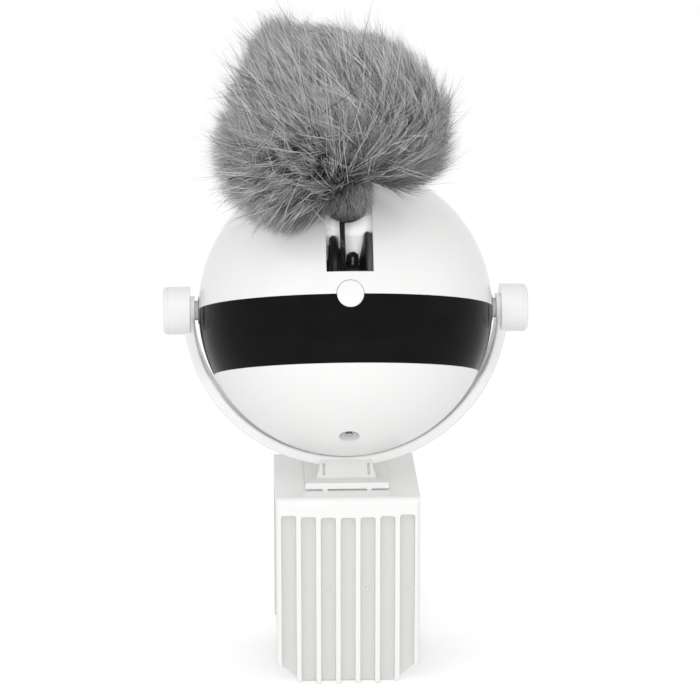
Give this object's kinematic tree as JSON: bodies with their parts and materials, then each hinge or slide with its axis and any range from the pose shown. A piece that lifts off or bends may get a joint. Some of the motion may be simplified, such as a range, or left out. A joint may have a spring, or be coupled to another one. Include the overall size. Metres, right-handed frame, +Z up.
{
  "type": "automatic cat teaser",
  "caption": "Tilting ball-shaped winch head in a yoke on a door-top saddle, lifting and lowering a grey fur pompom on a black string to tease a cat.",
  "frame": {"origin": "middle of the saddle pad face that rests on the top edge of a door", "axes": "+X to the viewer's right along the tilt axis, +Y away from the viewer, +Z up"},
  "size_m": [0.1186, 0.1043, 0.2224],
  "materials": {
    "white_gloss": "gloss",
    "white_satin": "satin",
    "black_gloss": "gloss",
    "black_plastic": "satin",
    "grey_plastic": "satin",
    "well_white": "satin",
    "foam": "matte",
    "washer": "matte",
    "steel": "satin",
    "brass": "satin",
    "board": "satin",
    "cell": "satin",
    "string": "matte",
    "core": "matte",
    "fur": "matte"
  },
  "bodies": {
    "base": {"door_saddle": "white_gloss", "saddle_pad": "foam", "front_pad": "foam", "rear_pad": "foam", "yoke": "white_gloss", "foot_screws": "steel", "left_hub_cap": "white_gloss", "right_hub_cap": "white_gloss"},
    "head": {"upper_shell": "white_gloss", "visor_band": "black_gloss", "lower_shell": "white_satin", "string_well": "well_white", "well_screws": "steel", "spool_bushes": "brass", "motor_gearbox": "brass", "motor_can": "steel", "motor_screws": "steel", "chassis": "grey_plastic", "chassis_screws": "steel", "shell_screws": "steel", "battery": "cell", "battery_clip": "grey_plastic", "main_board": "board", "board_parts": "black_plastic", "board_screws": "steel", "button_board": "board", "button_screws": "steel", "tact_switch": "black_plastic", "charge_jack": "white_satin", "jack_pin": "steel", "pivot_bushes": "grey_plastic", "friction_washers": "washer", "pivot_screws": "steel"},
    "winch": {"spool": "black_plastic", "spool_axle": "steel", "spool_gear": "grey_plastic", "string_winding": "string"},
    "drive": {"pinion": "grey_plastic", "motor_shaft": "steel"},
    "button": {"power_button": "white_gloss"},
    "toy": {"string_free": "string", "pompom_cap": "black_plastic", "pompom_core": "core", "pompom_fur": "fur"}
  },
  "joints": [
    {"name": "head_tilt", "type": "hinge", "parent": "base", "child": "head", "pos_m": [0, 0, 0.062], "axis": [1, 0, 0], "range_deg": [-30, 90]},
    {"name": "spool_spin", "type": "hinge", "parent": "head", "child": "winch", "pos_m": [0, -0.02, 0.0795], "axis": [-1, 0, 0], "range_deg": [0, 1770]},
    {"name": "pinion_spin", "type": "hinge", "parent": "head", "child": "drive", "pos_m": [0, -0.00507, 0.06865], "axis": [-1, 0, 0], "range_deg": [-3328.7, 0]},
    {"name": "pompom_lift", "type": "slide", "parent": "head", "child": "toy", "axis": [0, 0, 1], "range_m": [0, 0.27], "deforming": ["string_free"]},
    {"name": "button_press", "type": "slide", "parent": "head", "child": "button", "axis": [0, 0.9336, -0.3584], "range_m": [0, 0.0005], "stiffness_N_per_m": 600}
  ],
  "couplings": [
    {"joint": "spool_spin", "follows": "pompom_lift", "rad_per_m": 114.29},
    {"joint": "pinion_spin", "follows": "pompom_lift", "rad_per_m": -214.29}
  ]
}
